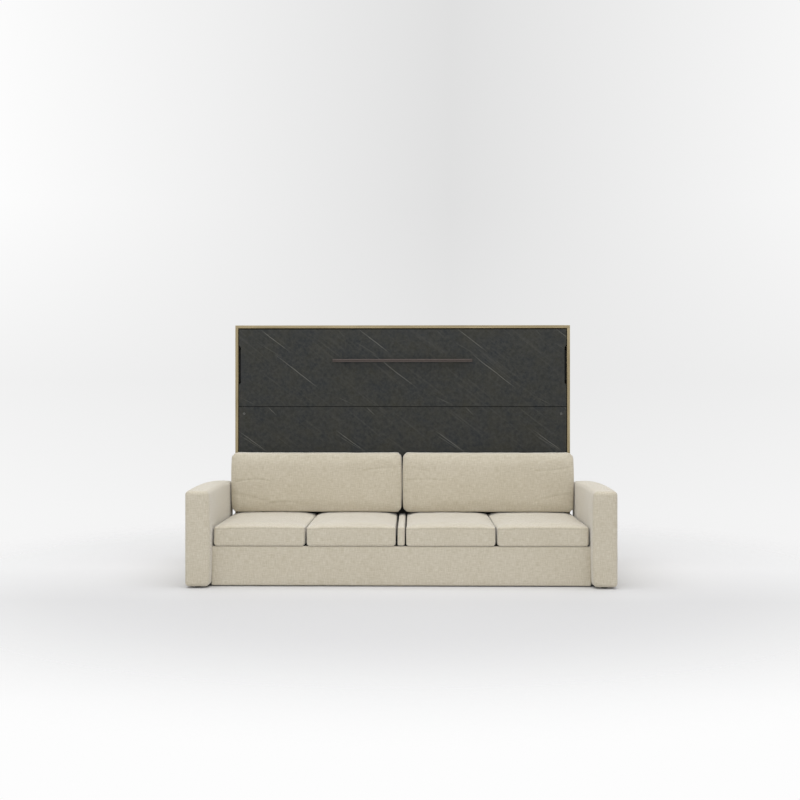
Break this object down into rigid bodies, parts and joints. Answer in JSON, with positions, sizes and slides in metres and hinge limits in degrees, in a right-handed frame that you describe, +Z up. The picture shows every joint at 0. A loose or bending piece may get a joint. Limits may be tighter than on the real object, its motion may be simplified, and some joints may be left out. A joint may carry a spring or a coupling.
{
  "type": "sofa wall bed",
  "caption": "Horizontal folding wall bed in an oak-edged cabinet with a dark slate front, a bar handle and fold-out legs, with a beige upholstered sofa built in front of it",
  "frame": {"origin": "On the floor, in the middle of the whole footprint of sofa and cabinet", "axes": "+Z up, +X to the right for someone facing the sofa, +Y back towards the wall"},
  "size_m": [2.437, 1.27, 1.54],
  "materials": {
    "light_oak": "light oak decor on chipboard, fine grain, satin",
    "dark_slate": "dark slate decor board with thin pale veins, matt",
    "beige_weave": "beige upholstery fabric, fine basket weave, matt",
    "plywood": "birch plywood, sanded",
    "black_steel": "black powder coat, satin",
    "bronze_handle": "bronze-brown lacquered metal, satin",
    "bright_steel": "bright zinc-plated steel",
    "rubber": "black rubber, matt",
    "ticking": "off-white quilted mattress ticking",
    "webbing": "dark grey elastic webbing",
    "hardboard": "light oak decor on thin hardboard"
  },
  "bodies": {
    "sofa_cabinet": {"cabinet_side_left": "light_oak", "cabinet_side_right": "light_oak", "cabinet_top": "light_oak", "cabinet_bottom": "light_oak", "cabinet_back": "hardboard", "wall_rail": "light_oak", "fascia_board": "dark_slate", "closing_bumper_left": "rubber", "closing_bumper_right": "rubber", "pivot_plate_left": "black_steel", "pivot_plate_right": "black_steel", "spring_anchor_left": "black_steel", "spring_anchor_right": "black_steel", "sofa_arm_left": "beige_weave", "sofa_arm_right": "beige_weave", "glide_left_front": "rubber", "glide_left_back": "rubber", "glide_right_front": "rubber", "glide_right_back": "rubber", "sofa_base_front": "beige_weave", "seat_deck": "plywood", "sofa_back_rail": "plywood", "centre_rib": "plywood", "deck_cleat_left": "plywood", "deck_cleat_right": "plywood", "seat_cushion_1": "beige_weave", "seat_cushion_2": "beige_weave", "seat_cushion_3": "beige_weave", "seat_cushion_4": "beige_weave", "centre_divider": "beige_weave"},
    "bed": {"bed_front_upper": "dark_slate", "bed_front_lower": "dark_slate", "side_rail_left": "black_steel", "side_rail_right": "black_steel", "top_rail": "black_steel", "bottom_rail": "black_steel", "middle_rail": "black_steel", "slat_base_left": "plywood", "slat_base_right": "plywood", "mattress": "ticking", "mattress_strap_left": "webbing", "mattress_strap_right": "webbing", "handle_bar": "bronze_handle", "handle_post_left": "bronze_handle", "handle_post_right": "bronze_handle", "bolt_cap_left": "bright_steel", "bolt_cap_right": "bright_steel", "spring_bracket_left": "black_steel", "spring_bracket_right": "black_steel"},
    "leg_left": {"leg_left": "black_steel", "leg_foot_left": "rubber"},
    "back_cushion_left": {"back_cushion_left": "beige_weave"},
    "spring_tube_left": {"spring_tube_left": "black_steel"},
    "spring_rod_left": {"spring_rod_left": "bright_steel"},
    "leg_right": {"leg_right": "black_steel", "leg_foot_right": "rubber"},
    "back_cushion_right": {"back_cushion_right": "beige_weave"},
    "spring_tube_right": {"spring_tube_right": "black_steel"},
    "spring_rod_right": {"spring_rod_right": "bright_steel"}
  },
  "joints": [
    {"name": "bed_fold", "type": "hinge", "parent": "sofa_cabinet", "child": "bed", "pos_m": [0, 0.2243, 0.5559], "axis": [1, 0, 0], "range_deg": [0, 90]},
    {"name": "leg_swing_left", "type": "hinge", "parent": "bed", "child": "leg_left", "pos_m": [0, 0.2243, 1.47], "axis": [-1, 0, 0], "range_deg": [0, 90]},
    {"name": "back_cushion_tip_left", "type": "hinge", "parent": "sofa_cabinet", "child": "back_cushion_left", "pos_m": [0, 0.042, 0.3576], "axis": [1, 0, 0], "range_deg": [0, 90]},
    {"name": "spring_swing_left", "type": "hinge", "parent": "sofa_cabinet", "child": "spring_tube_left", "pos_m": [0, 0.3843, 1.0759], "axis": [1, 0, 0], "range_deg": [0, 10.01]},
    {"name": "spring_stroke_left", "type": "slide", "parent": "spring_tube_left", "child": "spring_rod_left", "axis": [0, 0.1738, 0.9848], "range_m": [0, 0.21061]},
    {"name": "leg_swing_right", "type": "hinge", "parent": "bed", "child": "leg_right", "pos_m": [0, 0.2243, 1.47], "axis": [-1, 0, 0], "range_deg": [0, 90]},
    {"name": "back_cushion_tip_right", "type": "hinge", "parent": "sofa_cabinet", "child": "back_cushion_right", "pos_m": [0, 0.042, 0.3576], "axis": [1, 0, 0], "range_deg": [0, 90]},
    {"name": "spring_swing_right", "type": "hinge", "parent": "sofa_cabinet", "child": "spring_tube_right", "pos_m": [0, 0.3843, 1.0759], "axis": [1, 0, 0], "range_deg": [0, 10.01]},
    {"name": "spring_stroke_right", "type": "slide", "parent": "spring_tube_right", "child": "spring_rod_right", "axis": [0, 0.1738, 0.9848], "range_m": [0, 0.21061]}
  ],
  "couplings": [
    {"joint": "leg_swing_left", "follows": "bed_fold", "ratio": 1},
    {"joint": "back_cushion_tip_left", "follows": "bed_fold", "ratio": 1},
    {"joint": "spring_swing_left", "follows": "bed_fold", "ratio": 0.1112},
    {"joint": "spring_stroke_left", "follows": "bed_fold", "m_per_rad": 0.13401},
    {"joint": "leg_swing_right", "follows": "bed_fold", "ratio": 1},
    {"joint": "back_cushion_tip_right", "follows": "bed_fold", "ratio": 1},
    {"joint": "spring_swing_right", "follows": "bed_fold", "ratio": 0.1112},
    {"joint": "spring_stroke_right", "follows": "bed_fold", "m_per_rad": 0.13401}
  ]
}
